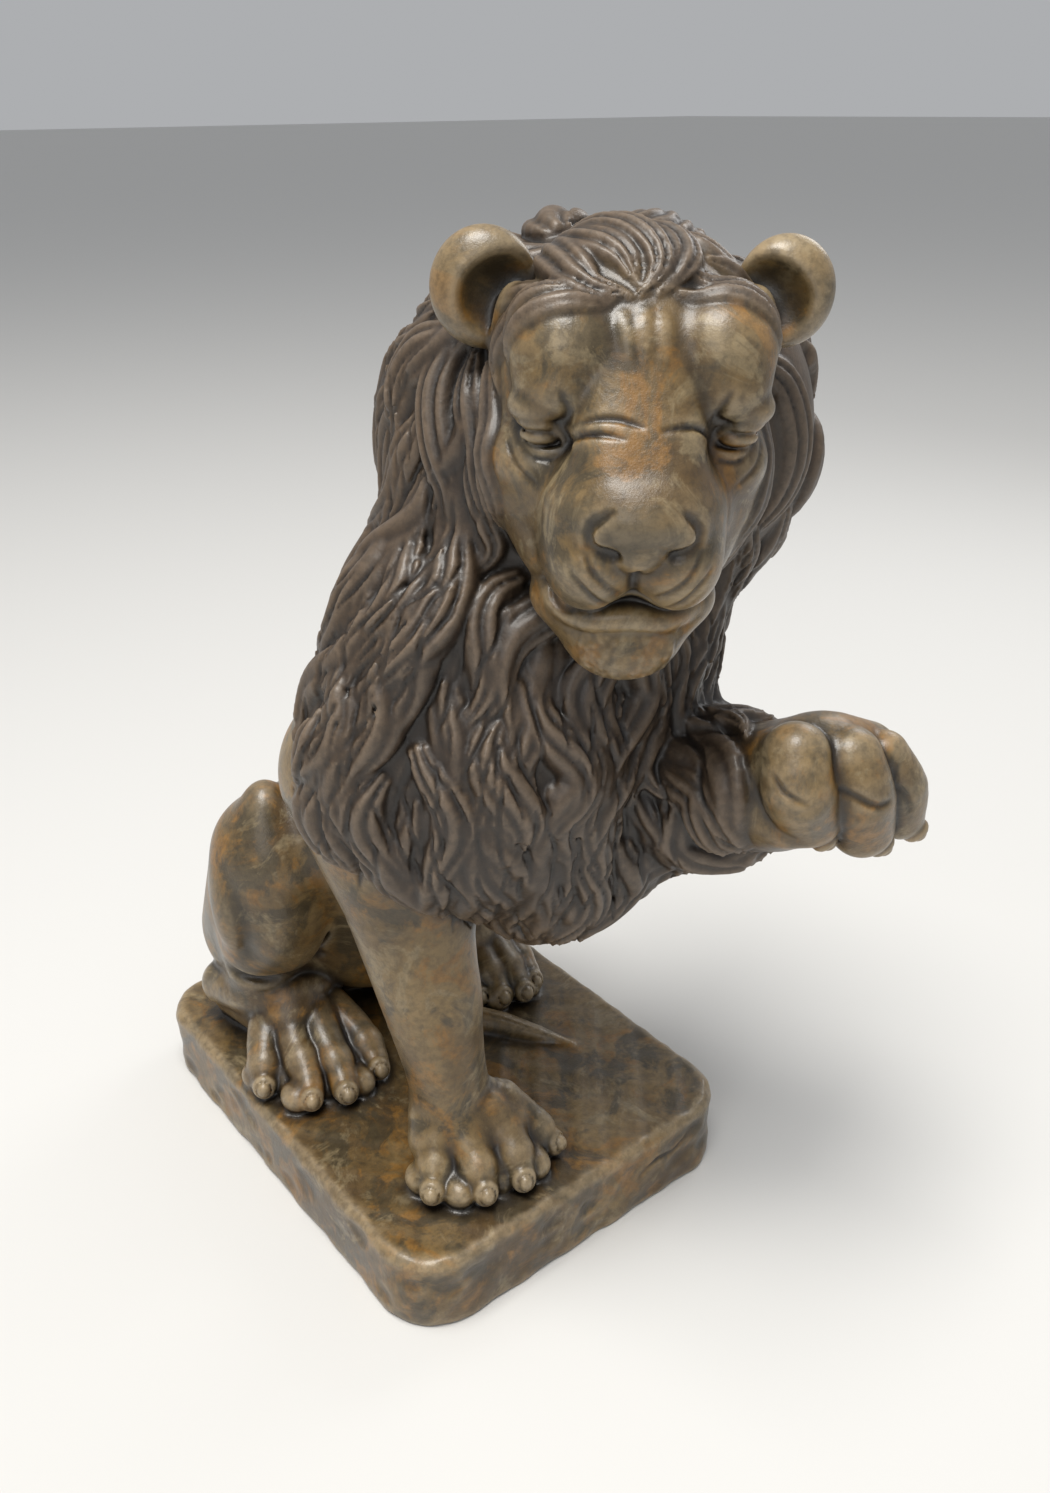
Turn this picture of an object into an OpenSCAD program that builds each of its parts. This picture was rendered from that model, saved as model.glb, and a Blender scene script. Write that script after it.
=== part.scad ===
/* [Plinth] */
// Width of the plinth, side to side
plinth_w = 370; // [350:5:420]
// Length of the plinth, front to back
plinth_l = 491; // [470:5:560]
// Height of the plinth
plinth_h = 73; // [60:1:100]
// Radius of the plinth's upright corners
plinth_corner = 54; // [30:1:70]
// Bevel along the plinth's top edge
plinth_bevel = 7; // [3:1:12]

/* [Pose] */
// Turn of the head towards the right foreleg
head_turn = 37; // [32:1:42]
// Tilt of the head, left side down
head_roll = 1.5; // [0:0.5:5]
// Nod of the head, face down
head_nod = 3; // [0:1:6]

/* [Reinforcement] */
// Diameter of the bars in the figure
bar_d = 12; // [8:1:14]
// Diameter of the bars in the plinth
grid_bar_d = 8; // [6:1:12]
// Stone left outside the plinth's grid of bars
cover = 35; // [25:1:50]

/* [Detail] */
// Facets round the large rounded forms
facets = 14; // [14:2:20]
// Facets round the toes and the nails
toe_facets = 10; // [10:2:14]

/* [Hidden] */

stone_hair = "#5a4d40";
stone_skin = "#8d7650";
stone_base = "#6b5946";
stone_nail = "#9c865e";
stone_nose = "#7c664a";
steel = "#6e6a66";

right = -1;
left = 1;

// The head's own frame: +X is the lion's left, -Y is the way it looks
head_at = [42, -220, 667];

muzzle_at = [0, -82, -52];
muzzle_size = [60, 68, 48];

// Joints of the skeleton, with z measured from the top of the plinth
hip = [80, 150, 107];
knee = [118, 78, 235];
shin_low = [120, 92, 150];
heel = [120, 168, 24];
elbow_down = [-80, -100, 257];
wrist_down = [-70, -142, 45];
shoulder_up = [80, -110, 407];
elbow_up = [95, -190, 345];
wrist_up = [126, -312, 378];
paw_up = [140, -345, 396];

standing_toes = [[-120, -178, 15], [-88, -206, 15], [-51, -213, 15], [-8, -196, 13]];
right_hind_toes = [[-168, 34, 15], [-144, -11, 15], [-114, -22, 15], [-73, -12, 14]];
left_hind_toes = [[132, -2, 15], [112, -12, 15], [90, -4, 15], [72, 14, 14]];
// The raised toes hang down: top, end and radius of each
raised_toes = [[[95, -354, 424], [114, -355, 376], 26], [[141, -371, 412], [160, -369, 358], 26],
               [[186, -371, 402], [204, -372, 354], 20], [[206, -355, 392], [219, -350, 354], 16]];

tail_path = [[0, 205, 105], [0, 222, 30], [0, 150, 18], [20, 62, 16], [38, 8, 10]];

// The bars rise from sockets in the plinth, and are bent where they leave it
socket_depth = 50;
first_bend = 12;
spine_foot = [0, 112];
standing_foot = [-70, -132];
hind_foot = [112, 108];

function rising(foot, rest) = concat([[foot.x, foot.y, -socket_depth], [foot.x, foot.y, first_bend]], rest);

spine_path = rising(spine_foot, [[0, 100, 180], [0, -40, 380], [28, -160, 560], [35, -200, 680]]);
standing_path = rising(standing_foot, [[-76, -108, 230], [-60, -84, 400]]);
raised_path = [[60, -90, 460], [92, -180, 350], [150, -352, 385]];
hind_path = rising(hind_foot, [[118, 82, 225], [60, 120, 130]]);

weld_bead = 1;
grid_z = plinth_h / 2;
grid_xs = [-140, -45, 45, 140];
grid_ys = [-180, -60, 60, 180];
tie_gap = 0.3;

// Rounded forms

module ball(p, r, n = facets) {
    translate(p) sphere(r, $fn = n);
}

module limb(points, radii, n = facets) {
    for (i = [0 : len(points) - 2])
        hull() {
            ball(points[i], radii[i], n);
            ball(points[i + 1], radii[i + 1], n);
        }
}

module egg(p, r, n = facets) {
    hull() translate(p) scale(r) sphere(1, $fn = n);
}

module on_plinth() {
    translate([0, 0, plinth_h]) children();
}

// Keeps only what stands above the top of the plinth
module above() {
    intersection() {
        children();
        translate([-500, -600, 0]) cube([1100, 1100, 1000]);
    }
}

module in_head() {
    translate(head_at)
        rotate([0, 0, -head_turn]) rotate([head_nod, 0, 0]) rotate([0, head_roll, 0])
            children();
}

// Each section's full form, before its neighbours are taken away

module hindquarters_form() {
    limb([[0, 135, 100], [0, 172, 45]], [96, 62]);
    limb([[-52, 140, 100], [52, 140, 100]], [72, 72]);
}

module torso_form() {
    limb([[0, 135, 110], [0, 70, 227], [0, -50, 377]], [96, 98, 104]);
}

module mane_form() {
    limb([[0, -60, 367], [20, -90, 487], [40, -130, 627]], [118, 106, 100]);
    in_head() egg([-10, 100, -45], [168, 104, 150]);
    limb([[-45, -110, 487], [-48, -135, 347]], [98, 84]);
    limb([[40, -150, 487], [45, -165, 307]], [84, 70]);
    limb([[-10, -150, 397], [20, -150, 282]], [95, 65]);
    limb([[110, -190, 560], [95, -150, 430]], [52, 84]);
}

module head_form() {
    in_head() {
        egg([0, 0, 25], [96, 95, 102]);
        egg(muzzle_at, muzzle_size);
        for (side = [left, right]) {
            egg([side * 50, -58, 42], [38, 40, 38]);
            egg([side * 60, -32, -35], [42, 46, 52]);
        }
    }
}

module lower_jaw_form() {
    in_head() egg([-2, -58, -118], [50, 54, 45]);
}

module nose_form() {
    in_head() egg([0, -130, -38], [33, 22, 22], toe_facets);
}

module eyes_form() {
    in_head()
        for (side = [left, right])
            egg([side * 62, -76, 2], [15, 12, 12], toe_facets);
}

module ear_form(side) {
    in_head() egg([side * 100, 10, 78], [32, 20, 34]);
}

module hind_leg_form(side) {
    limb([[side * hip.x, hip.y, hip.z], [side * 106, 84, 225]], [78, 62]);
    limb([[side * 126, knee.y - 4, knee.z + 14], [side * 122, shin_low.y, shin_low.z]], [46, 52]);
}

function hind_toes(side) = side == right ? right_hind_toes : left_hind_toes;
function instep(side) = side == right ? -116 : 104;

module hind_paw_form(side) {
    limb([[side * heel.x, heel.y, heel.z], [instep(side), 64, 32]], [34, 38]);
    for (toe = hind_toes(side))
        limb([[0.75 * toe.x + 0.25 * instep(side), 58, 30], toe], [25, 17], toe_facets);
}

module standing_foreleg_form() {
    limb([[-85, -70, 367], elbow_down, [-72, -125, 127], wrist_down], [78, 54, 40, 38]);
}

module standing_paw_form() {
    ball(wrist_down, 44);
    for (toe = standing_toes)
        limb([[0.55 * toe.x - 31, -162, 36], toe], [30, 19], toe_facets);
}

module raised_upper_arm_form() {
    limb([shoulder_up, elbow_up], [86, 64]);
}

module raised_forearm_form() {
    limb([elbow_up, wrist_up], [67, 46]);
}

module raised_paw_form() {
    limb([[118, -318, 386], paw_up], [48, 46]);
    for (toe = raised_toes)
        hull() {
            ball(paw_up, 34, toe_facets);
            ball(toe[0], toe[2], toe_facets);
            ball(toe[1], toe[2], toe_facets);
        }
}

module tail_form() {
    limb(tail_path, [26, 24, 20, 17, 12], toe_facets);
}

module tail_tuft_form() {
    limb([[38, 8, 8], [66, -34, 7], [86, -66, 5], [106, -94, 1]], [14, 13, 9, 3], toe_facets);
}

// Nails: one short cone-like form at the tip of each toe

module nail(tip, aim, n = toe_facets) {
    hull() {
        ball(tip, 8, n);
        ball(tip + aim, 4, n);
    }
}

module standing_nails_form() {
    for (toe = standing_toes)
        nail([toe.x, toe.y - 13, 14], [0, -6, -6]);
}

module hind_nails_form(side) {
    for (toe = hind_toes(side))
        nail(toe + [0, -11, -2], [0, -6, -5]);
}

module raised_nails_form() {
    for (toe = raised_toes)
        nail(toe[1] + toe[2] * [0.45, -0.3, -0.55], [3, -2, -5]);
}

// Bars: straight runs with a weld bead at each bend

module bar(path, r) {
    for (i = [0 : len(path) - 2]) {
        run = path[i + 1] - path[i];
        across = norm([run.x, run.y]);
        translate(path[i])
            rotate([0, atan2(across, run.z), atan2(run.y, run.x)])
                cylinder(h = norm(run), r = r, $fn = 32);
        if (i > 0) translate(path[i]) sphere(r + weld_bead, $fn = 32);
    }
}

function mirrored(path, side) = [for (p = path) [side * p.x, p.y, p.z]];

module figure_bars(r) {
    bar(spine_path, r);
    bar(standing_path, r);
    bar(raised_path, r);
    for (side = [left, right]) bar(mirrored(hind_path, side), r);
}

module plinth_grid(r) {
    reach_x = plinth_w / 2 - cover;
    reach_y = plinth_l / 2 - cover;
    for (x = grid_xs)
        translate([x, reach_y, grid_z]) rotate([90, 0, 0]) cylinder(h = 2 * reach_y, r = r, $fn = 32);
    for (y = grid_ys)
        translate([-reach_x, y, grid_z + 2 * r + tie_gap])
            rotate([0, 90, 0]) cylinder(h = 2 * reach_x, r = r, $fn = 32);
}

// The channels that the bars fill, a little wide where their walls are faceted
module bar_channels() {
    figure_bars(bar_d / 2 + 0.4);
}

module bar_sockets() {
    for (foot = [spine_foot, standing_foot, hind_foot, [-hind_foot.x, hind_foot.y]])
        translate([foot.x, foot.y, plinth_h - socket_depth])
            cylinder(h = socket_depth + 1, r = bar_d / 2, $fn = 32);
}

module plinth_outline(inset) {
    w = plinth_w - 2 * inset;
    l = plinth_l - 2 * inset;
    r = plinth_corner - inset;
    square([w - 2 * r, l], center = true);
    square([w, l - 2 * r], center = true);
    for (x = [-1, 1], y = [-1, 1])
        translate([x * (w / 2 - r), y * (l / 2 - r)]) circle(r, $fn = 64);
}

// Sub-parts

module plinth() {
    color(stone_base)
        difference() {
            union() {
                linear_extrude(plinth_h - plinth_bevel) plinth_outline(0);
                linear_extrude(plinth_h) plinth_outline(plinth_bevel);
            }
            plinth_grid(grid_bar_d / 2);
            bar_sockets();
        }
}

module hindquarters() {
    color(stone_skin) on_plinth() above() difference() {
        hindquarters_form();
        for (side = [left, right]) {
            hind_leg_form(side);
            hind_paw_form(side);
        }
        tail_form();
        tail_tuft_form();
        bar_channels();
    }
}

module torso() {
    color(stone_skin) on_plinth() above() difference() {
        torso_form();
        hindquarters_form();
        mane_form();
        for (side = [left, right]) {
            hind_leg_form(side);
            hind_paw_form(side);
        }
        tail_form();
        standing_foreleg_form();
        raised_upper_arm_form();
        bar_channels();
    }
}

module mane() {
    color(stone_hair) on_plinth() above() difference() {
        mane_form();
        head_form();
        lower_jaw_form();
        for (side = [left, right]) ear_form(side);
        bar_channels();
    }
}

module head() {
    color(stone_skin) on_plinth() difference() {
        head_form();
        lower_jaw_form();
        nose_form();
        eyes_form();
        for (side = [left, right]) ear_form(side);
        bar_channels();
    }
}

module lower_jaw() {
    color(stone_skin) on_plinth() difference() {
        lower_jaw_form();
        in_head() egg(muzzle_at, muzzle_size);
        bar_channels();
    }
}

module nose() {
    color(stone_nose) on_plinth() nose_form();
}

module eyes() {
    color(stone_nose) on_plinth() eyes_form();
}

module right_ear() {
    color(stone_skin) on_plinth() ear_form(right);
}

module left_ear() {
    color(stone_skin) on_plinth() ear_form(left);
}

module hind_leg(side) {
    color(stone_skin) on_plinth() above() difference() {
        hind_leg_form(side);
        hind_paw_form(side);
        tail_form();
        mane_form();
        bar_channels();
    }
}

module right_hind_leg() {
    hind_leg(right);
}

module left_hind_leg() {
    hind_leg(left);
}

module hind_paw(side) {
    color(stone_skin) on_plinth() above() difference() {
        hind_paw_form(side);
        hind_nails_form(side);
        tail_form();
        tail_tuft_form();
        bar_channels();
    }
}

module right_hind_paw() {
    hind_paw(right);
}

module left_hind_paw() {
    hind_paw(left);
}

module standing_foreleg() {
    color(stone_skin) on_plinth() above() difference() {
        standing_foreleg_form();
        standing_paw_form();
        mane_form();
        bar_channels();
    }
}

module standing_paw() {
    color(stone_skin) on_plinth() above() difference() {
        standing_paw_form();
        standing_nails_form();
        bar_channels();
    }
}

module raised_upper_arm() {
    color(stone_hair) on_plinth() difference() {
        raised_upper_arm_form();
        mane_form();
        raised_forearm_form();
        bar_channels();
    }
}

module raised_forearm() {
    color(stone_hair) on_plinth() difference() {
        raised_forearm_form();
        mane_form();
        raised_paw_form();
        bar_channels();
    }
}

module raised_paw() {
    color(stone_skin) on_plinth() difference() {
        raised_paw_form();
        raised_nails_form();
        bar_channels();
    }
}

module tail() {
    color(stone_skin) on_plinth() above() difference() {
        tail_form();
        tail_tuft_form();
        bar_channels();
    }
}

module tail_tuft() {
    color(stone_hair) on_plinth() above() tail_tuft_form();
}

module standing_paw_nails() {
    color(stone_nail) on_plinth() above() standing_nails_form();
}

module right_hind_nails() {
    color(stone_nail) on_plinth() above() hind_nails_form(right);
}

module left_hind_nails() {
    color(stone_nail) on_plinth() above() hind_nails_form(left);
}

module raised_paw_nails() {
    color(stone_nail) on_plinth() raised_nails_form();
}

module plinth_bars() {
    color(steel) plinth_grid(grid_bar_d / 2);
}

module spine_bar() {
    color(steel) on_plinth() bar(spine_path, bar_d / 2);
}

module standing_leg_bar() {
    color(steel) on_plinth() bar(standing_path, bar_d / 2);
}

module raised_arm_bar() {
    color(steel) on_plinth() bar(raised_path, bar_d / 2);
}

module hind_leg_bars() {
    color(steel) on_plinth()
        for (side = [left, right]) bar(mirrored(hind_path, side), bar_d / 2);
}

plinth();
hindquarters();
torso();
mane();
head();
lower_jaw();
nose();
eyes();
right_ear();
left_ear();
right_hind_leg();
left_hind_leg();
right_hind_paw();
left_hind_paw();
standing_foreleg();
standing_paw();
raised_upper_arm();
raised_forearm();
raised_paw();
tail();
tail_tuft();
standing_paw_nails();
right_hind_nails();
left_hind_nails();
raised_paw_nails();
plinth_bars();
spine_bar();
standing_leg_bar();
raised_arm_bar();
hind_leg_bars();
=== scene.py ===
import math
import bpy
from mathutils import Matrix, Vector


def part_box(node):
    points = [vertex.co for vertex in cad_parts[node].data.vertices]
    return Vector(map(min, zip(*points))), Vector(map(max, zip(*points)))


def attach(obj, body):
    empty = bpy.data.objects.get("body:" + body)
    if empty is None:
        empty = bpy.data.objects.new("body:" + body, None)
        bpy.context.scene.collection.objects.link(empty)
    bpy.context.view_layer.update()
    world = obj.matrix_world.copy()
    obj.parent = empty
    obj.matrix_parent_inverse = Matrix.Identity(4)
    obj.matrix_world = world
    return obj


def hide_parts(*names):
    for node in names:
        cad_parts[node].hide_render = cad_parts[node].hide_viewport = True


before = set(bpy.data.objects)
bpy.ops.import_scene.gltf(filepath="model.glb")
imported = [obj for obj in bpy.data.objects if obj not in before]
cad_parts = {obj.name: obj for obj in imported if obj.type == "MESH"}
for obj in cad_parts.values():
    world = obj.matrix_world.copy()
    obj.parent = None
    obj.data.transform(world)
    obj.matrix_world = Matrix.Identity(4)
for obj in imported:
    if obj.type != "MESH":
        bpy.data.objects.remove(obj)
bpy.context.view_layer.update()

# The looks of a seated cast-stone guardian lion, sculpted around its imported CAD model.
#
# The figure is modelled as clay: signed distances of simple forms on a grid, joined with soft blends.
# One list of strokes describes the whole statue. Each CAD section is cut out of it as its own closed
# piece, and neighbouring pieces dip under each other where they meet, so that the casting looks whole.
#
# Lengths are in millimetres, with z = 0 on top of the plinth, until a mesh is made.

from concurrent.futures import ThreadPoolExecutor

import bpy
import numpy as np
import openvdb
from mathutils import Matrix, Vector

MM = 0.001
F32 = np.float32
COARSE = 1.0  # voxels are this many times larger


def cad_mm(node):
    """A CAD node's lowest and highest corners in millimetres."""
    low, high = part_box(node)
    return np.array(low) / MM, np.array(high) / MM


PLINTH_LOW, PLINTH_HIGH = cad_mm("plinth")
GROUND = PLINTH_HIGH[2]
RIGHT, LEFT = -1, 1


def vec(*numbers):
    return np.array(numbers, float)


def unit(v):
    return v / max(np.linalg.norm(v), 1e-9)


# -------------------- the head's own axes

HEAD_AT = vec(42, -220, 667)
HEAD_TURN, HEAD_NOD, HEAD_ROLL = 37, 3, 1.5


def head_axes():
    """The head's left, forward and up directions, as rows."""
    turn = Matrix.Rotation(math.radians(-HEAD_TURN), 3, "Z")
    nod = Matrix.Rotation(math.radians(HEAD_NOD), 3, "X")
    roll = Matrix.Rotation(math.radians(HEAD_ROLL), 3, "Y")
    m = np.array(turn @ nod @ roll)
    return np.array([m[:, 0], -m[:, 1], m[:, 2]])


HEAD = head_axes()
WORLD = np.eye(3)


def face(left, forward, up):
    """A point given in the head's own axes, from the middle of the skull."""
    return HEAD_AT + left * HEAD[0] + forward * HEAD[1] + up * HEAD[2]


# -------------------- clay forms

class Form:
    """A shape: its box, and a function that gives signed distance at arrays of x, y, z."""

    def __init__(self, low, high, distance):
        self.low, self.high, self.distance = np.array(low, float), np.array(high, float), distance


def smooth_min(a, b, k):
    if k <= 0:
        return np.minimum(a, b)
    h = np.maximum(F32(k) - np.abs(a - b), 0) / F32(k)
    return np.minimum(a, b) - h * h * F32(k / 4)


def limb(points, radii):
    """Round cones through the points."""
    p, r = np.array(points, float), np.array(radii, float)

    def distance(x, y, z):
        best = None
        for a, b, ra, rb in zip(p[:-1], p[1:], r[:-1], r[1:]):
            d = b - a
            px, py, pz = x - F32(a[0]), y - F32(a[1]), z - F32(a[2])
            t = (px * F32(d[0]) + py * F32(d[1]) + pz * F32(d[2])) / F32(d @ d)
            t = np.clip(t, 0, 1)
            px, py, pz = px - t * F32(d[0]), py - t * F32(d[1]), pz - t * F32(d[2])
            q = np.sqrt(px * px + py * py + pz * pz) - (F32(ra) + t * F32(rb - ra))
            best = q if best is None else np.minimum(best, q)
        return best

    return Form(p.min(0) - r.max(), p.max(0) + r.max(), distance)


def egg(center, radii, axes=WORLD):
    """An ellipsoid whose radii lie along the rows of axes."""
    center = np.array(center, float)
    reach = np.sqrt(((axes.T * np.array(radii, float)) ** 2).sum(1))

    def distance(x, y, z):
        px, py, pz = x - F32(center[0]), y - F32(center[1]), z - F32(center[2])
        inner, slope = 0, 0
        for axis, r in zip(axes, radii):
            q = px * F32(axis[0]) + py * F32(axis[1]) + pz * F32(axis[2])
            inner = inner + (q / F32(r)) ** 2
            slope = slope + (q / F32(r * r)) ** 2
        inner = np.sqrt(inner)
        return inner * (inner - 1) / (np.sqrt(slope) + F32(1e-6))

    return Form(center - reach, center + reach, distance)


def slab(low, high, corner, edge):
    """A box with round upright corners and softened edges."""
    mid, half = (low + high) / 2, (high - low) / 2

    def distance(x, y, z):
        qx = np.abs(x - F32(mid[0])) - F32(half[0] - corner)
        qy = np.abs(y - F32(mid[1])) - F32(half[1] - corner)
        flat = np.sqrt(np.maximum(qx, 0) ** 2 + np.maximum(qy, 0) ** 2)
        side = flat + np.minimum(np.maximum(qx, qy), 0) - F32(corner - edge)
        top = np.abs(z - F32(mid[2])) - F32(half[2] - edge)
        outside = np.sqrt(np.maximum(side, 0) ** 2 + np.maximum(top, 0) ** 2)
        return outside + np.minimum(np.maximum(side, top), 0) - F32(edge)

    return Form(low, high, distance)


def lock(path, normals, widths, heights, ridges, ridge_depth):
    """A flat lock of hair along a path: an oval section with a few rounded strands, narrow at its tip."""
    path, widths, heights = np.array(path), np.array(widths), np.array(heights)
    along = np.gradient(path, axis=0)
    across = np.cross(normals, along)
    across /= np.linalg.norm(across, axis=1)[:, None] + 1e-9
    up = np.cross(along, across)
    up /= np.linalg.norm(up, axis=1)[:, None] + 1e-9
    reach = float(widths.max()) + 4

    def distance(x, y, z):
        shape = np.broadcast_shapes(x.shape, y.shape, z.shape)
        near = np.full(shape, 1e9, F32)
        step = np.zeros(shape, F32)
        for i in range(len(path) - 1):
            a, d = path[i], path[i + 1] - path[i]
            px, py, pz = x - F32(a[0]), y - F32(a[1]), z - F32(a[2])
            t = np.clip((px * F32(d[0]) + py * F32(d[1]) + pz * F32(d[2])) / F32(d @ d), 0, 1)
            q = (px - t * F32(d[0])) ** 2 + (py - t * F32(d[1])) ** 2 + (pz - t * F32(d[2])) ** 2
            closer = q < near
            near[closer] = q[closer]
            step[closer] = (t + F32(i))[closer]
        out = np.full(shape, reach, F32)
        mask = near < reach * reach
        if not mask.any():
            return out
        s = step[mask]
        at = np.array([np.interp(s, np.arange(len(path)), c) for c in np.hstack([path, across, up]).T], F32)
        w = np.interp(s, np.arange(len(path)), widths).astype(F32)
        h = np.interp(s, np.arange(len(path)), heights).astype(F32)
        where = np.nonzero(mask)
        p = [np.broadcast_to(c, shape)[where] - at[i] for i, c in enumerate((x, y, z))]
        u = (p[0] * at[3] + p[1] * at[4] + p[2] * at[5]) / w
        v = p[0] * at[6] + p[1] * at[7] + p[2] * at[8]
        strands = np.abs(np.cos(F32(math.pi / 2 * ridges) * u)) - 1
        depth = F32(ridge_depth) * strands * np.minimum(h / 4, 1)
        grooved = v - depth * (v > 0)
        past_ends = near[mask] - (u * w) ** 2 - v ** 2
        r = np.sqrt(u * u + (grooved / h) ** 2 + np.maximum(past_ends, 0) / (h * h))
        out[mask] = (r - 1) * np.minimum(w, h)
        return out

    return Form(path.min(0) - reach, path.max(0) + reach, distance)


# -------------------- strokes and the clay grid

rng = np.random.default_rng(7)
HAIRY = ("mane", "raised_upper_arm", "raised_forearm")
STROKES = []  # part, form, blend and whether it carves, in the order of the work
LOCKS = set()  # the forms that are locks of hair and lines in them


def add(part, form, blend=8):
    """Clay laid on, which belongs to a part."""
    STROKES.append((part, form, blend, False))


def carve(form, blend=3):
    """Clay taken away, whichever part it belongs to."""
    STROKES.append((None, form, blend, True))


class Clay:
    """Signed distances on a grid, with each voxel's distance from one part, the others, hair and skin."""

    FAR = 40.0  # what the empty grid holds, beyond the reach of any blend

    def __init__(self, low, high, step, part=None):
        self.step, self.part = step, part
        self.low = np.floor(np.array(low) / step) * step
        self.size = np.ceil((np.array(high) - self.low) / step).astype(int) + 1
        self.axes = [(self.low[i] + step * np.arange(self.size[i])).astype(F32) for i in range(3)]
        self.f = np.full(self.size, self.FAR, F32)
        if part:
            self.own, self.other = self.f.copy(), self.f.copy()
            self.hair, self.skin = self.f.copy(), self.f.copy()

    def window(self, form, pad):
        a = np.clip(np.floor((form.low - pad - self.low) / self.step).astype(int), 0, self.size)
        b = np.clip(np.ceil((form.high + pad - self.low) / self.step).astype(int) + 1, 0, self.size)
        if (b <= a).any():
            return None
        cut = tuple(slice(a[i], b[i]) for i in range(3))
        x, y, z = (self.axes[i][cut[i]] for i in range(3))
        return cut, (x[:, None, None], y[None, :, None], z[None, None, :])

    def replay(self, strokes):
        for part, form, blend, carving in strokes:
            found = self.window(form, blend + 3 * self.step + 4)
            if found is None:
                continue
            cut, xyz = found
            d = form.distance(*xyz)
            if carving:
                self.f[cut] = -smooth_min(-self.f[cut], d, blend)
                continue
            self.f[cut] = smooth_min(self.f[cut], d, blend)
            if self.part:
                owner = self.own if part == self.part else self.other
                cover = self.hair if part in HAIRY else self.skin
                for field in (owner, cover):
                    field[cut] = np.minimum(field[cut], d)
        return self

    def sample(self, points, field=None):
        """Trilinear values of a field at points."""
        field = self.f if field is None else field
        g = np.clip((points - self.low) / self.step, 0, self.size - 1.001)
        i = g.astype(int)
        t = (g - i).astype(F32)
        total = 0
        for corner in np.ndindex(2, 2, 2):
            weight = np.prod([t[:, a] if corner[a] else 1 - t[:, a] for a in range(3)], axis=0)
            total = total + weight * field[i[:, 0] + corner[0], i[:, 1] + corner[1], i[:, 2] + corner[2]]
        return total

    def slope(self, points):
        reach = self.step
        d = [self.sample(points + reach * e) - self.sample(points - reach * e) for e in WORLD]
        g = np.stack(d, axis=1)
        return g / (np.linalg.norm(g, axis=1)[:, None] + 1e-9)

    def project(self, points, lift=0.0, rounds=4):
        """Points moved along the slope until they lie lift above the surface, and the slope there."""
        points = np.array(points, float).reshape(-1, 3)
        for _ in range(rounds):
            points = points - self.slope(points) * (self.sample(points) - lift)[:, None]
        return points, self.slope(points)


# -------------------- the body

HIP, THIGH_TOP = (80, 150, 107), (106, 84, 225)


def sided(point, side):
    return vec(side * point[0], point[1], point[2])


def uneven(form, waves):
    """The same form with its faces gently out of true; waves holds pairs of length and height."""

    def distance(x, y, z):
        d = form.distance(x, y, z)
        for i, (length, height) in enumerate(waves):
            k = 2 * math.pi / length
            wave = np.sin(F32(k) * y * F32(0.8) + 2 * i + F32(k) * z)
            d = d + F32(height) * np.sin(F32(k) * x + i) * wave
        return d

    return Form(form.low, form.high, distance)


PLINTH_CORNER, PLINTH_EDGE = 54, 8
PLINTH_BELOW = 3  # the slab runs on below the ground, where its piece is cut off flat
PLINTH_WAVES = [(130, 0.9), (53, 0.7), (24, 0.35)]
EDGE_CHIPS, SIDE_CHIPS = 90, 80
CRACK = [(62, -34), (84, -26), (104, -29), (130, -18), (150, -22)]  # x and z, in the front face


def sculpt_plinth():
    low, high = PLINTH_LOW - vec(0, 0, GROUND + PLINTH_BELOW), PLINTH_HIGH - vec(0, 0, GROUND)
    add("plinth", uneven(slab(low, high, PLINTH_CORNER, PLINTH_EDGE), PLINTH_WAVES), 0)
    carve(limb([(x, low[1], z) for x, z in CRACK], [1.0, 2.2, 1.6, 2.4, 1.0]), 2)
    for _ in range(EDGE_CHIPS):
        chip_plinth(high, high[2], rng.uniform(2.0, 4.2))
    for _ in range(SIDE_CHIPS):
        chip_plinth(high, rng.uniform(-70, -10), rng.uniform(0.8, 3.0))


def chip_plinth(high, height, depth):
    """A shallow chip somewhere round the plinth, at a height. One in the top edge faces upwards too."""
    angle = rng.uniform(0, 2 * math.pi)
    way = vec(math.cos(angle), math.sin(angle), 0)
    reach = min(high[0] / max(abs(way[0]), 0.01), high[1] / max(abs(way[1]), 0.01))
    inner = np.clip(way * reach, PLINTH_CORNER - high, high - PLINTH_CORNER) * vec(1, 1, 0)
    out = unit(way * reach - inner)
    spot = inner + out * min(np.linalg.norm(way * reach - inner), PLINTH_CORNER) + vec(0, 0, height)
    away = unit(out + vec(0, 0, 0.9 if height == high[2] else 0))
    along = unit(np.cross(away, vec(0, 0, 1)))
    size = rng.uniform(5, 15)
    shape = (size * 1.5, size, size * 0.55)
    axes = np.array([along, np.cross(away, along), away])
    carve(egg(spot + away * (shape[2] - depth), shape, axes), 3)


def sculpt_torso():
    add("hindquarters", limb([(0, 135, 100), (0, 172, 45)], [96, 62]), 20)
    add("torso", limb([(0, 135, 110), (0, 70, 227), (0, -50, 377)], [96, 98, 104]), 20)


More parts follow.
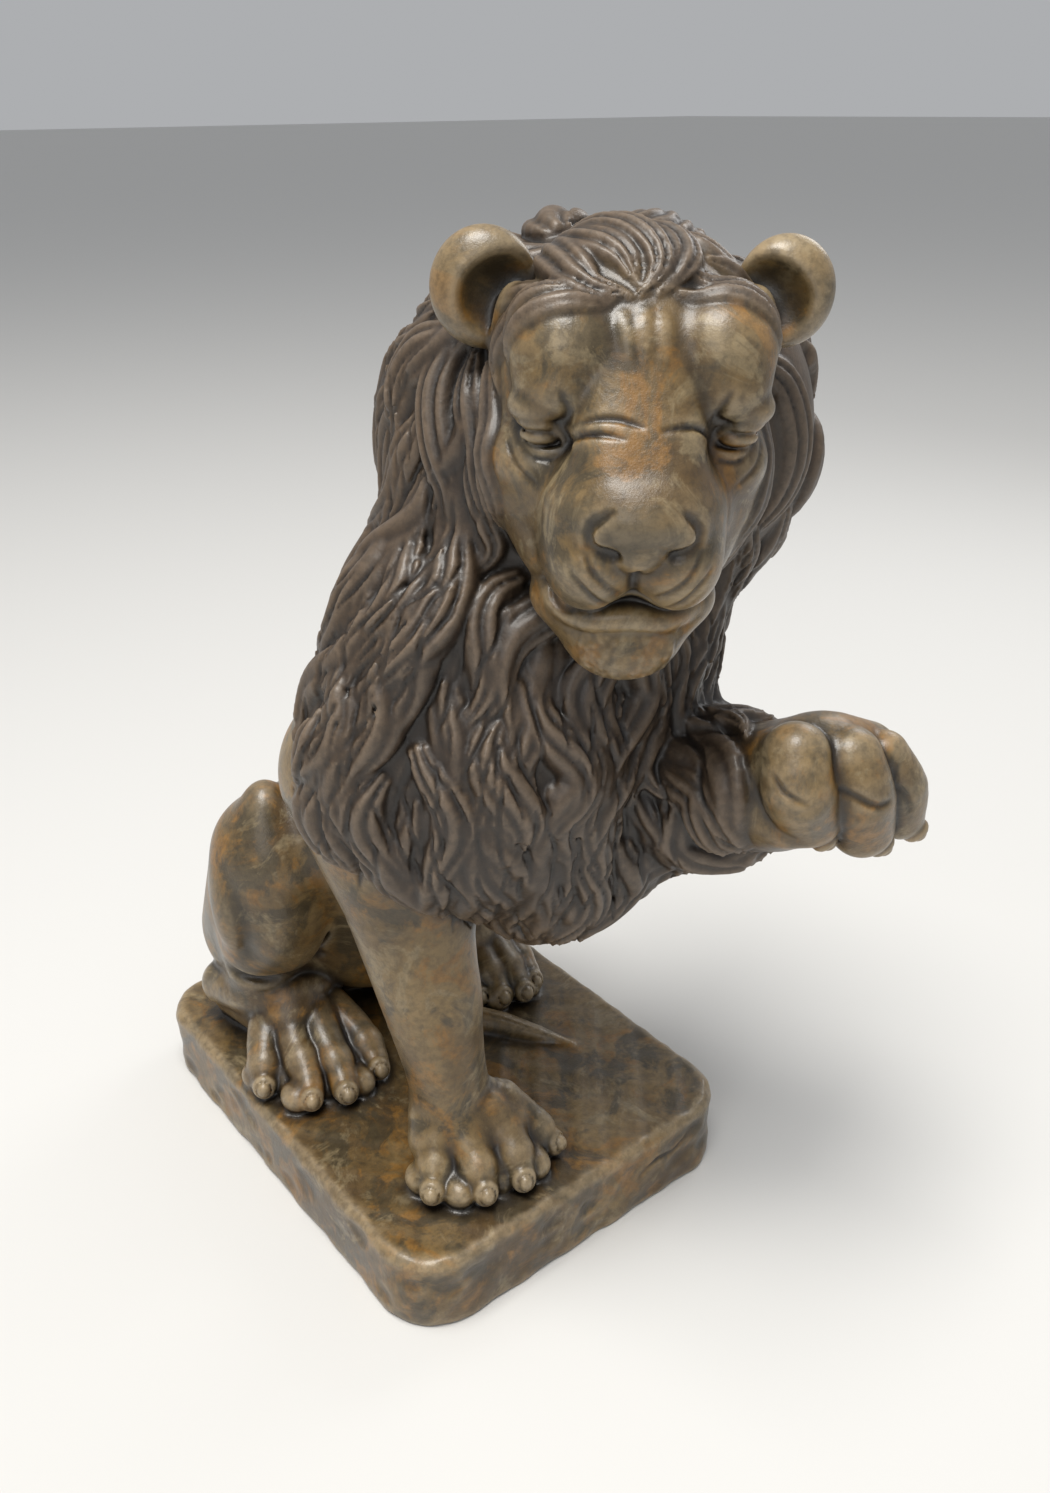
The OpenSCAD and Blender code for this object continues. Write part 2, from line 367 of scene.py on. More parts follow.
def sculpt_hind_leg(side, leg):
    add(leg, limb([sided(HIP, side), sided(THIGH_TOP, side)], [78, 62]), 25)
    axes = np.array([sided((0.84, -0.55, 0), -side), sided((-0.55, -0.84, 0), -side), (0, 0, 1)])
    add(leg, egg(sided((116, 78, 204), side), (40, 46, 101), axes), 10)
    add(leg, egg(sided((110, 74, 172), side), (42, 44, 66), axes), 16)
    add(leg, egg(sided((148, 96, 186), side), (23, 40, 58), axes), 9)
    add(leg, limb([sided((128, 98, 130), side), sided((122, 112, 60), side)], [38, 34]), 12)
    behind_shin = [(96, 56, 272), (84, 50, 220), (82, 50, 160), (92, 58, 118)]
    carve(tapering([sided(p, side) for p in behind_shin], [1, 7, 7, 5]), 10)
    over_ankle = [(172, 122, 116), (166, 96, 108), (134, 70, 99), (104, 54, 101), (86, 58, 110)]
    carve(tapering([sided(p, side) for p in over_ankle], [3, 6, 6, 6, 4]), 7)


def sculpt_foreleg():
    bone = [(-85, -70, 367), (-80, -100, 257), (-74, -122, 150), (-72, -132, 100), (-70, -140, 55)]
    tendon = [(-96, -128, 210), (-90, -146, 110), (-84, -156, 60)]
    add("standing_foreleg", limb(bone, [78, 54, 42, 36, 34]), 20)
    add("standing_foreleg", egg((-66, -140, 168), (22, 22, 40)), 12)
    add("standing_foreleg", limb(tendon, [16, 13, 12]), 12)


def sculpt_raised_leg():
    add("raised_upper_arm", limb([(80, -110, 407), (95, -190, 345)], [86, 64]), 25)
    add("raised_forearm", limb([(95, -190, 345), (126, -312, 378)], [64, 46]), 20)


def sculpt_mane_core():
    add("mane", limb([(4, -60, 367), (24, -90, 487), (42, -130, 627)], [108, 96, 92]), 30)
    add("mane", face_egg(-4, -100, -45, (160, 104, 148)), 30)
    add("mane", limb([(-32, -116, 487), (-46, -135, 347)], [86, 78]), 30)
    add("mane", egg((-76, -104, 395), (80, 72, 108)), 20)
    add("mane", limb([(42, -154, 487), (45, -165, 307)], [80, 64]), 30)
    add("mane", limb([(-10, -150, 397), (20, -150, 282)], [90, 60]), 30)
    add("mane", limb([(110, -190, 560), (95, -150, 430)], [46, 78]), 30)


# -------------------- work on the surface

def smooth_path(points, spacing=5.0):
    """A Catmull-Rom curve through the points, evenly stepped."""
    p = np.array(points, float)
    p = np.vstack([2 * p[0] - p[1], p, 2 * p[-1] - p[-2]])
    curve = []
    for a, b, c, d in zip(p[:-3], p[1:-2], p[2:-1], p[3:]):
        count = max(int(np.linalg.norm(c - b) / spacing), 1)
        t = (np.arange(count) / count)[:, None]
        bend = (a - 2.5 * b + 2 * c - d / 2) + t * (1.5 * (b - c) + (d - a) / 2)
        curve.append(b + t * ((c - a) / 2 + t * bend))
    return np.vstack(curve + [p[-2:-1]])


def profile(count, start, end, rise=0.3, fall=0.5):
    """Thickness along a form: from start of its full size, up to it, and down to end."""
    t = np.linspace(0, 1, count)
    up = np.sin(np.clip(t / rise, 0, 1) * math.pi / 2)
    down = np.sin(np.clip((1 - t) / fall, 0, 1) * math.pi / 2)
    return (start + (1 - start) * up) * (end + (1 - end) * down)


def ridge(part, skin, points, radius, sink, blend=3, start=0.4, end=0.4):
    """A raised fold along the surface."""
    path, _ = skin.project(smooth_path(points), -sink)
    add(part, limb(path, radius * profile(len(path), start, end, 0.4, 0.4)), blend)


def groove(skin, points, radius, lift=0.0, blend=2, start=0.4, end=0.4):
    """A line cut into the surface."""
    path, _ = skin.project(smooth_path(points), lift)
    carve(limb(path, radius * profile(len(path), start, end, 0.3, 0.3)), blend)


LAID_GROOVE, GROWN_GROOVE = 0.32, 0.26  # depth of the grooves between strands, as shares of a lock's height


def lay_lock(part, skin, points, width, height, ridges):
    """A lock of hair along the surface, through the points."""
    path, normals = skin.project(smooth_path(points, 6.0))
    n = len(path)
    widths, heights = width * profile(n, 0.4, 0.15), height * profile(n, 0.5, 0.3)
    add(part, lock(path, normals, widths, heights, ridges, LAID_GROOVE * height), 2.5)


def on_face(points):
    return [face(*p) for p in points]


def face_egg(left, forward, up, radii):
    """An ellipsoid along the head's own axes, at a point given in them."""
    return egg(face(left, forward, up), radii, HEAD)


# -------------------- the head

def sculpt_head_mass():
    add("head", face_egg(0, 0, 22, (90, 88, 92)), 20)
    for side in (RIGHT, LEFT):
        add("head", limb(on_face([(side * 14, 54, 42), (side * 15, 112, -28)]), [32, 27]), 16)
        add("head", face_egg(side * 32, 88, -40, (28, 42, 30)), 14)
        add("head", face_egg(side * 51, 32, -38, (40, 46, 56)), 22)
        add("head", face_egg(side * 64, 52, -20, (25, 28, 20)), 14)
    add("head", face_egg(0, 72, -60, (57, 56, 42)), 16)
    for side in (RIGHT, LEFT):
        add("head", face_egg(side * 52, 46, -80, (20, 34, 24)), 12)
    for side in (RIGHT, LEFT):
        add("head", face_egg(side * 28, 96, -68, (31, 43, 37)), 9)


def sculpt_brows():
    for side in (RIGHT, LEFT):
        add("head", face_egg(4 + side * 48, 54, 50, (37, 38, 36)), 7)
        add("head", face_egg(4 + side * 52, 61, 30, (29, 33, 24)), 8)
        add("head", face_egg(4 + side * 64, 64, 18, (21, 23, 14)), 4)


def sculpt_jaw():
    add("lower_jaw", face_egg(0, 58, -124, (50, 48, 42)), 8)
    add("lower_jaw", face_egg(0, 76, -142, (34, 30, 24)), 12)
    for side in (RIGHT, LEFT):
        add("lower_jaw", face_egg(side * 33, 56, -114, (31, 34, 24)), 10)
    lip = [(-54, 62, -100), (-46, 84, -109), (-28, 99, -114), (0, 105, -111), (26, 99, -115),
           (41, 84, -112), (47, 62, -106)]
    path = smooth_path(on_face(lip))
    add("lower_jaw", limb(path, 8 * profile(len(path), 0.5, 0.5)), 6)


def sculpt_nose():
    add("nose", face_egg(1, 124, -36, (36, 27, 22)), 12)
    add("nose", face_egg(0, 132, -54, (14, 14, 14)), 7)
    for side in (RIGHT, LEFT):
        add("nose", face_egg(1 + side * 26, 123, -43, (13, 18, 15)), 6)


NOSE_SHIFT = 3


def sculpt_eyes():
    for side in (RIGHT, LEFT):
        carve(face_egg(NOSE_SHIFT + side * 62, 90, 0, (19, 14, 8)), 6)
        add("eyes", face_egg(NOSE_SHIFT + side * 62, 71, 1, (14, 12, 7)), 1)


# Lines of the face, as points left, forward and up of the skull's middle. Those of one eye serve both
FROWN = [[(-14, 75, 81), (-10, 84, 68), (-7, 93, 52)], [(14, 76, 80), (13, 85, 67), (13, 95, 50)],
         [(2, 74, 85), (1, 84, 70), (3, 95, 52)]]
WRINKLES = [[(-30, 98, 14), (-15, 107, 19), (0, 111, 16)], [(-41, 85, -2), (-27, 101, 6), (-12, 111, 7)],
            [(40, 85, 2), (28, 101, 12), (12, 111, 13)]]
EYE_BAG = [(76, 77, 3), (64, 80, -12), (50, 81, -13)]
EYE_BAG_LOW = [(85, 60, -2), (76, 74, -18), (62, 80, -28)]
LID_TOP = [(46, 80, -3), (56, 82, 6), (68, 80, 9), (80, 70, 5)]
LID_LOW = [(46, 80, -5), (56, 83, -7), (68, 82, -5), (80, 70, 2)]
BROW_FOLD = [(52, 92, 32), (46, 86, 18), (58, 84, 8)]
NOSTRIL = [(22, 143, -26), (33, 138, -36), (32, 135, -47), (19, 139, -55)]
PHILTRUM = [(0, 139, -64), (-1, 130, -78), (0, 122, -96)]
WHISKERS = [[(37, 135, -53), (30, 140, -68), (10, 125, -88)],
            [(44, 132, -66), (34, 136, -80), (18, 122, -96)]]
MOUTH = [(-62, 84, -94), (-50, 98, -106), (-34, 110, -107), (-18, 116, -103), (0, 118, -96),
         (18, 116, -103), (34, 110, -107), (50, 98, -106), (62, 84, -94)]


def beside_nose(points, side):
    """A line of the face's one side, on either side of the nose, whose middle is a little to the left."""
    return on_face([(NOSE_SHIFT + side * left, forward, up) for left, forward, up in points])


def sculpt_face_lines(skin):
    """Folds and wrinkles of the face."""
    for fold in FROWN:
        ridge("head", skin, on_face(fold), 7, 4.6, 4)
    for line in WRINKLES:
        groove(skin, on_face(line), 2.2)
    for side in (RIGHT, LEFT):
        groove(skin, beside_nose(BROW_FOLD, side), 2.6, 0.5, 3)
        groove(skin, beside_nose(EYE_BAG, side), 2.2, 0.3)
        groove(skin, beside_nose(EYE_BAG_LOW, side), 2.0, 0.6)
        ridge("head", skin, beside_nose(LID_TOP, side), 4.5, 1.5, 2)
        ridge("head", skin, beside_nose(LID_LOW, side), 3.5, 1.0, 2)
        groove(skin, beside_nose(NOSTRIL, side), 4.5, 0.5, 3, 0.35, 1.0)
        for line in WHISKERS:
            groove(skin, beside_nose(line, side), 2.0, 0.2)
        carve(face_egg(side * 62, 84, -95, (7, 9, 6)), 4)
    groove(skin, on_face(PHILTRUM), 3, 0.5, 3, 0.6, 0.8)
    groove(skin, on_face(MOUTH), 3.6, 0.5, 3, 0.8, 0.8)


CHIN_TUFTS = 70


def roughen_chin(skin):
    """Short tufts over the front of the chin."""
    for _ in range(CHIN_TUFTS):
        left, up = rng.uniform(-34, 36), rng.uniform(-152, -118)
        tuft = on_face([(left, 100, up), (0.9 * left + rng.uniform(-3, 3), 92, up - rng.uniform(8, 15))])
        ridge("lower_jaw", skin, tuft, rng.uniform(2.2, 3.6), 2.2, 1.5)


def sculpt_ear(side, part, at, size):
    add(part, face_egg(side * at, -8, 75, (36 * size, 23, 39 * size)), 8)
    carve(face_egg(side * (at - 6), 17, 70, (24 * size, 19, 27 * size)), 7)
    carve(face_egg(side * (at - 18), 14, 82, (20, 22, 17)), 9)
    add(part, face_egg(side * (at - 22), 8, 60, (15, 14, 22)), 8)


# -------------------- hair laid one by one on the head

# Each lock's points from root to tip, half width, height and strands
TUFT = [
    ([(35, -5, 122), (62, 2, 112), (80, 8, 100), (92, 10, 84)], 15, 9, 3),
    ([(8, 2, 122), (26, 18, 118), (32, 38, 110), (24, 58, 99), (12, 68, 91)], 13, 10, 3),
    ([(-58, -12, 110), (-32, 20, 112), (-12, 44, 108), (-3, 64, 95)], 15, 10, 3),
    ([(-48, -15, 112), (-16, 4, 121), (8, 36, 114), (12, 56, 103), (0, 69, 91)], 18, 12, 4),
    ([(-64, -6, 108), (-52, 28, 103), (-34, 58, 93), (-8, 70, 89)], 17, 12, 3)]
FRAME = [
    ([(-66, 33, 88), (-88, 12, 76), (-103, 9, 56), (-106, 4, 34)], 9, 8, 2),
    ([(-44, 58, 88), (-74, 42, 80), (-93, 28, 58), (-99, 22, 34), (-95, 32, 18)], 12, 9, 3),
    ([(-20, 70, 84), (-52, 72, 80), (-76, 62, 62), (-86, 56, 42)], 9, 7, 2),
    ([(52, 22, 106), (82, 8, 96), (106, 0, 70), (118, -8, 42)], 13, 9, 2),
    ([(34, 50, 100), (64, 45, 90), (90, 35, 68), (101, 28, 42), (99, 32, 20)], 13, 9, 3),
    ([(26, 64, 90), (52, 62, 84), (74, 62, 70), (86, 58, 52)], 8, 7, 2)]
ROPES = [
    ([(-116, -34, 44), (-128, -28, 6), (-128, -10, -30), (-120, 6, -64), (-124, 4, -104)], 19, 14, 3),
    ([(-112, -14, 36), (-110, 4, 2), (-102, 22, -32), (-100, 30, -68), (-104, 24, -104)], 16, 14, 3),
    ([(-102, 4, 28), (-99, 24, 4), (-92, 42, -20), (-88, 48, -50), (-92, 40, -78)], 12, 11, 2),
    ([(122, -14, 44), (138, -24, 6), (148, -30, -38), (142, -24, -82), (118, -4, -122)], 19, 10, 3),
    ([(110, 6, 30), (120, 8, -8), (120, 14, -50), (102, 26, -92), (80, 36, -122)], 18, 10, 3),
    ([(104, 14, 12), (106, 30, -20), (98, 42, -56), (80, 52, -90)], 13, 9, 2)]


def sculpt_head_hair(skin):
    for points, width, height, ridges in ROPES + FRAME + TUFT:
        lay_lock("mane", skin, on_face(points), width, height, ridges)


# -------------------- paws

# Each toe from its root to its tip
STANDING_TOES = [
    [(-90, -130, 66), (-93, -140, 44), (-101, -156, 30), (-111, -169, 20), (-119, -177, 14)],
    [(-78, -144, 74), (-77, -160, 50), (-80, -182, 32), (-83, -197, 21), (-86, -205, 14)],
    [(-60, -152, 74), (-49, -168, 50), (-46, -188, 34), (-48, -205, 21), (-51, -213, 14)],
    [(-42, -154, 64), (-27, -162, 42), (-15, -178, 28), (-10, -189, 19), (-7, -195, 13)]]
RIGHT_HIND_TOES = [
    [(-141, 75, 40), (-155, 57, 28), (-164, 43, 19), (-169, 35, 13)],
    [(-120, 63, 46), (-129, 43, 36), (-135, 14, 24), (-144, -9, 14)],
    [(-97, 60, 48), (-105, 26, 34), (-109, -5, 21), (-114, -22, 14)],
    [(-77, 66, 42), (-70, 28, 29), (-69, 4, 19), (-72, -11, 13)]]
LEFT_HIND_TOES = [
    [(136, 84, 38), (138, 54, 28), (135, 22, 19), (132, 4, 13)],
    [(118, 74, 44), (117, 44, 34), (114, 12, 22), (112, -6, 14)],
    [(100, 72, 44), (98, 42, 32), (93, 14, 20), (90, 2, 14)],
    [(84, 78, 40), (80, 52, 27), (75, 30, 18), (72, 18, 12)]]
TOE_RADII = [20, 19, 17, 13]
PADS = {"standing_paw": [(-119, -160, 12), (-103, -192, 12), (-32, -206, 11)],
        "right_hind_paw": [(-168, 52, 11), (-154, 0, 12), (-96, -18, 11)],
        "left_hind_paw": [(140, 28, 10), (122, 0, 11), (84, 4, 10)]}
# The raised paw's toes hang down in front of it, as columns side by side
RAISED_TOES = [
    ([(98, -350, 432), (93, -358, 412), (114, -355, 380)], [25, 27, 25]),
    ([(139, -366, 422), (143, -374, 398), (160, -369, 360)], [25, 27, 25]),
    ([(178, -368, 414), (192, -376, 386), (204, -372, 354)], [19, 21, 19]),
    ([(198, -354, 404), (214, -356, 376), (219, -350, 354)], [15, 17, 15])]
RAISED_NAILS = [vec(124, -364, 359), vec(174, -379, 342), vec(214, -381, 341)]
RAISED_NAIL_WAY = unit(vec(0.55, -0.35, -0.75))


def toe_axes(way):
    """Sideways, forwards and upwards for a toe that points along way."""
    side = unit(np.cross(way, vec(0, 0, 1)))
    return np.array([side, way, np.cross(side, way)])


def tapering(points, radii):
    """A limb along a smooth line, its radii given at the line's points."""
    line = smooth_path(points, 8)
    return limb(line, np.interp(np.linspace(0, len(points) - 1, len(line)), range(len(points)), radii))


def sculpt_nail(nails, paw, spot, way, width=6.8):
    """An oval nail, nearly flush, with a fold of skin and a fine line round it."""
    axes = toe_axes(way)
    add(paw, egg(spot, (width + 4, 7, width + 5), axes), 3)
    carve(egg(spot + 5 * way, (width + 1, 6.5, width + 2), axes), 1)
    add(nails, egg(spot + 3.5 * way, (width - 0.2, 7, width + 0.8), axes), 0.5)


def sculpt_toes(part, nails, toes):
    """Toes over a low web that closes the gaps between them, with pads under their ends."""
    toes = [[vec(*p) for p in toe] for toe in toes]
    for one, two in zip(toes, toes[1:]):
        web = [(a + b) / 2 - vec(0, 0, 9) for a, b in zip(one[-4:], two[-4:])]
        web[-1] = web[-1] * 0.45 + web[-2] * 0.55
        web[-1][2] = 8
        add(part, tapering(web, [19, 18, 15, 10]), 6)
    for spot in PADS[part]:
        add(part, egg(spot, (15, 17, 13)), 7)
    for toe in toes:
        add(part, tapering(toe, ([12] + TOE_RADII)[-len(toe):]), 4)
        add(part, egg(toe[-3] * 0.3 + toe[-2] * 0.7 + vec(0, 0, 2), (16, 15, 16)), 6)
    for toe in toes:
        way = (toe[-1] - toe[-2]) * vec(1, 1, 0)
        way = unit(way + vec(0, 0, 0.2 * np.linalg.norm(way)))
        sculpt_nail(nails, part, toe[-1] + 9 * way, way)


def sculpt_standing_paw():
    add("standing_paw", limb([(-70, -136, 52), (-66, -156, 40)], [36, 30]), 12)
    add("standing_paw", limb([(-94, -148, 36), (-38, -168, 36)], [26, 26]), 10)
    sculpt_toes("standing_paw", "standing_paw_nails", STANDING_TOES)


def sculpt_hind_paws():
    """Hind paws, with a fold of the shin's skin over each instep. The left one lies nearer the middle."""
    for part, nails, toes, side, nearer in (
            ("right_hind_paw", "right_hind_nails", RIGHT_HIND_TOES, RIGHT, 0),
            ("left_hind_paw", "left_hind_nails", LEFT_HIND_TOES, LEFT, 12)):
        foot = [(122, 168, 26), (114, 76, 44)]
        fold = [(144, 158, 50), (140, 104, 66), (104, 70, 70), (70, 86, 58)]
        foot, fold = ([sided((x - nearer, y, z), side) for x, y, z in line] for line in (foot, fold))
        add(part, limb(foot, [32, 36]), 10)
        add(part, tapering(fold, [24, 21, 17, 17]), 7)
        sculpt_toes(part, nails, toes)


def sculpt_raised_paw():
    add("raised_paw", limb([(116, -314, 388), (132, -340, 402)], [47, 45]), 14)
    knuckles = [(104, -336, 418), (142, -345, 418), (186, -345, 402)]
    add("raised_paw", tapering(knuckles, [27, 30, 27]), 10)
    add("raised_paw", egg((112, -342, 372), (30, 26, 20)), 10)
    for points, radii in RAISED_TOES:
        add("raised_paw", tapering(points, radii), 3.5)
    for spot in RAISED_NAILS:
        sculpt_nail("raised_paw_nails", "raised_paw", spot, RAISED_NAIL_WAY, 6.4)


RAISED_CREASES = [  # points and radius
    ([(114, -380, 412), (124, -392, 404), (136, -396, 398), (146, -400, 399)], 3),
    ([(62, -354, 430), (66, -366, 420), (78, -380, 411)], 2.5),
    ([(168, -395, 420), (172, -400, 396), (182, -398, 372)], 2)]


def sculpt_raised_creases():
    skin = Clay(vec(60, -430, 310), vec(250, -300, 480), 2).replay(STROKES)
    for line, radius in RAISED_CREASES:
        groove(skin, line, radius, 0.5, 3)


def sculpt_tail():
    """The tail, round behind the body and forwards under it, and the tuft with a few lines along it."""
    tail = [(0, 205, 105), (0, 222, 30), (0, 150, 18), (20, 62, 16), (38, 8, 10)]
    tuft = [(38, 8, 8), (66, -34, 7), (86, -66, 5), (106, -94, 0)]
    add("tail", limb(tail, [26, 24, 20, 17, 12]), 8)
    add("tail_tuft", limb(tuft, [14, 13, 9, 3]), 8)
    skin = Clay(vec(20, -120, -4), vec(130, 30, 40), 2).replay(STROKES)
    for shift in (-7, 0, 7):
        line = [(48 + shift, -2, 20), (72 + shift, -40, 18), (92 + shift / 2, -76, 10)]
        groove(skin, line, 1.8, 0.3)


# -------------------- the mane's locks

def heading(left, forward, up):
    """A direction given in the head's own axes."""
    return left * HEAD[0] + forward * HEAD[1] + up * HEAD[2]


# Where the hair has been combed, and which way it runs there: in the head's own axes, and in the world's
COMBED_HEAD = [
    ((0, -20, 120), (0.1, -1, 0)), ((-60, -20, 100), (-1, -0.6, -0.4)), ((60, -20, 100), (1, -0.6, -0.4)),
    ((-115, -60, 50), (-0.4, -0.5, -0.9)), ((115, -60, 50), (0.4, -0.5, -0.9)),
    ((-125, -20, 0), (-0.1, 0.2, -1)), ((130, -20, 0), (0.1, 0.1, -1)), ((-112, 20, -70), (-0.2, 0, -1)),
    ((118, 10, -70), (-0.3, 0.1, -1)), ((-70, 40, -125), (-0.8, -0.2, -0.9)),
    ((60, 40, -135), (0.3, 0, -1)), ((0, 30, -170), (-0.1, 0, -1)), ((0, -140, 40), (0, -0.4, -1))]
COMBED_BODY = [
    ((-120, -190, 560), (-0.6, 0.3, -0.9)), ((-80, -230, 490), (-0.35, 0, -1)),
    ((-20, -250, 440), (0.05, 0, -1)), ((60, -245, 460), (-0.35, 0, -1)),
    ((100, -220, 400), (-0.7, -0.1, -0.8)), ((-90, -210, 380), (0.1, -0.1, -1)),
    ((-100, -190, 320), (0.35, 0, -1)), ((20, -230, 320), (-0.1, 0.1, -1)),
    ((-150, -120, 500), (-0.1, 0.3, -1)), ((-140, -70, 400), (0.1, 0.3, -1)),
    ((165, -180, 560), (0.2, -0.3, -1)), ((140, -90, 460), (0, 0.3, -1)),
    ((110, -250, 400), (0.2, -1, -0.1)), ((150, -290, 400), (0.3, -1, 0)), ((20, 20, 600), (0, 0.6, -1)),
    ((0, 30, 480), (0, 0.8, -0.8))]
COMB_AT = np.array([face(*at) for at, _ in COMBED_HEAD] + [at for at, _ in COMBED_BODY])
COMB_WAY = np.array([unit(heading(*way)) for _, way in COMBED_HEAD] + [unit(way) for _, way in COMBED_BODY])
COMB_BLUR = 30


def flow(point):
    """The way the hair runs at a point: the nearby combed directions, weighed by nearness."""
    weight = (((COMB_AT - point) ** 2).sum(1) + COMB_BLUR ** 2) ** -2.0
    return unit(weight @ COMB_WAY)


# A lock ends where it runs off the hair, except on the last stretch of the raised foreleg, and at its wrist
WRIST = vec(119, -308, 385)
ARM_WAY = unit(vec(0.25, -0.95, 0.2))
SLEEVE = -60  # where the last stretch starts, measured along the foreleg from the wrist
LOCK_STEP, LINE_STEP = 7.0, 6.0


def comb_path(skin, start, length, lift, wave, wave_length, step):
    """A path over the skin from start that follows the flow and swings from side to side."""
    phase = rng.uniform(0, 2 * math.pi)
    point, normal = skin.project([start], lift)
    path, normals = [point[0]], [normal[0]]
    for i in range(max(int(length / step), 4)):
        way = flow(path[-1])
        way = unit(way - normals[-1] * (way @ normals[-1]))
        angle = wave * math.sin(phase + 2 * math.pi * i * step / wave_length)
        way = way * math.cos(angle) + np.cross(normals[-1], way) * math.sin(angle)
        point, normal = skin.project(path[-1] + step * way, lift, 2)
        on_skin = skin.sample(point, skin.hair)[0] > skin.sample(point, skin.skin)[0] + 5
        past_wrist = (point[0] - WRIST) @ ARM_WAY
        if (i > 3 and on_skin and past_wrist < SLEEVE) or past_wrist > 0:
            break
        path.append(point[0])
        normals.append(normal[0])
    return np.array(path), np.array(normals)


SHORTEST_LOCK = 50


def grow_lock(part, skin, start, length, width, height, lift, wave, ridges):
    """A lock that starts at a point and follows the flow over the skin."""
    path, normals = comb_path(skin, start, length, lift, wave, 140, LOCK_STEP)
    n = len(path)
    if n * LOCK_STEP < SHORTEST_LOCK:
        return
    widths, heights = width * profile(n, 0.5, 0.12, 0.35, 0.6), height * profile(n, 0.45, 0.3, 0.3, 0.4)
    form = lock(path, normals, widths, heights, ridges, GROWN_GROOVE * height)
    LOCKS.add(form)
    add(part, form, 3)


MANE_REACH = vec(-200, -340, 190), vec(300, 120, 850)
SEED_TRIES = 60000
SEED_NEAR = 25  # a try this near to the skin is moved onto it


def seeds_on(skin, owner, count, gap):
    """Well-spaced points on the skin where the owner says that hair has the surface."""
    kept = []
    tries = rng.uniform(*MANE_REACH, (SEED_TRIES, 3))
    tries = tries[np.abs(skin.sample(tries)) < SEED_NEAR]
    tries, _ = skin.project(tries)
    tries = tries[owner(tries)]
    tries = tries[(tries - WRIST) @ ARM_WAY < 0]
    for p in tries:
        if all(np.linalg.norm(p - q) > gap for q in kept):
            kept.append(p)
        if len(kept) >= count:
            break
    return np.array(kept)


MOST_SEEDS = 900
LOCK_GAP, LINE_GAP = 31, 17
SKIN_STEP = 4


def sculpt_locks():
    """The mane's locks, the farthest from the face first, so that each row laps over the one behind it."""
    skin = Clay(*MANE_REACH, SKIN_STEP, "mane").replay(STROKES)

    def hair_owns(points):
        return skin.sample(points, skin.hair) < skin.sample(points, skin.skin) + 3

    seeds = seeds_on(skin, hair_owns, MOST_SEEDS, LOCK_GAP)
    reach = np.linalg.norm(seeds - face(0, 30, -20), axis=1)
    for i in np.argsort(-reach):
        grow_lock(hair_part(seeds[i]), skin, seeds[i], length=rng.uniform(105, 190),
                  width=rng.uniform(16, 26), height=rng.uniform(12, 17), lift=rng.uniform(-2, 3),
                  wave=rng.uniform(0.35, 0.8), ridges=rng.choice([2, 2, 3, 3]))
    incise_hair(hair_owns)


def hair_part(point):
    """The hairy part whose own form is nearest to a point."""
    at = [np.array([c], F32) for c in point]
    near = {}
    for part, form, _, carving in STROKES:
        if part in HAIRY and form not in LOCKS and not carving:
            near[part] = min(near.get(part, 1e9), float(form.distance(*at)[0]))
    return min(near, key=near.get)


def incise_hair(owner):
    """Fine lines cut along the locks."""
    skin = Clay(*MANE_REACH, SKIN_STEP, "mane").replay(STROKES)
    for start in seeds_on(skin, owner, MOST_SEEDS, LINE_GAP):
        path, _ = comb_path(skin, start, rng.uniform(30, 75), -0.4, 0.35, 120, LINE_STEP)
        if len(path) < 4:
            continue
        form = limb(path, rng.uniform(1.6, 2.4) * profile(len(path), 0.3, 0.3))
        LOCKS.add(form)
        carve(form, 1.5)


# -------------------- meshes

def blurred(field, radius):
    """A box blur run twice along each axis; radius counts voxels."""
    r = max(int(round(radius)), 1)
    n = 2 * r + 1
    for axis in range(3):
        for _ in range(2):
            padded = np.pad(field, [(r + 1, r) if a == axis else (0, 0) for a in range(3)], mode="edge")
            total = np.cumsum(padded, axis=axis, dtype=np.float64 if padded.shape[axis] > 900 else F32)
            high = np.take(total, range(n, total.shape[axis]), axis=axis)
            low = np.take(total, range(0, total.shape[axis] - n), axis=axis)
            field = (high - low) / F32(n)
    return field


# A piece runs on past its border under its neighbours, by the overlap, and dips there as the square
OVERLAP = 5.0
DIP = 0.06
UNDER_FEET = 2.0  # how far the figure runs into the plinth
HAIR_FADE = 10.0  # the width over which hair turns to skin
STAND_OUT = {"crease": 3.0, "hollow": 11.0}  # the radius that each value looks at

# A piece is made in a window round its CAD section: by a margin, or by a box where it spreads far
MARGIN = 18
WIDER = {"torso": 45, "standing_foreleg": 45, "left_hind_paw": 32, "right_hind_paw": 32, "lower_jaw": 28,
         "nose": 28, "left_ear": 28, "right_ear": 28, "tail": 30}
REACH = {
    "mane": (vec(-200, -340, 190), vec(300, 130, 850)),
    "raised_upper_arm": (vec(-40, -340, 190), vec(240, 60, 560)),
    "raised_forearm": (vec(10, -380, 230), vec(230, -90, 520))}

# The mane is too large for one mesh, so it is made in five, with hidden laps where they meet
MANE_SPLIT, MANE_WAIST, MANE_BACK = 25, 560, -110
FAR = 2000
MANE_BOXES = {
    "mane_crown_right": (vec(-FAR, -FAR, MANE_WAIST), vec(MANE_SPLIT, FAR, FAR)),
    "mane_crown_left": (vec(MANE_SPLIT, -FAR, MANE_WAIST), vec(FAR, FAR, FAR)),
    "mane_chest_right": (vec(-FAR, -FAR, -FAR), vec(MANE_SPLIT, MANE_BACK, MANE_WAIST)),
    "mane_chest_left": (vec(MANE_SPLIT, -FAR, -FAR), vec(FAR, MANE_BACK, MANE_WAIST)),
    "mane_back": (vec(-FAR, MANE_BACK, -FAR), vec(FAR, FAR, MANE_WAIST))}


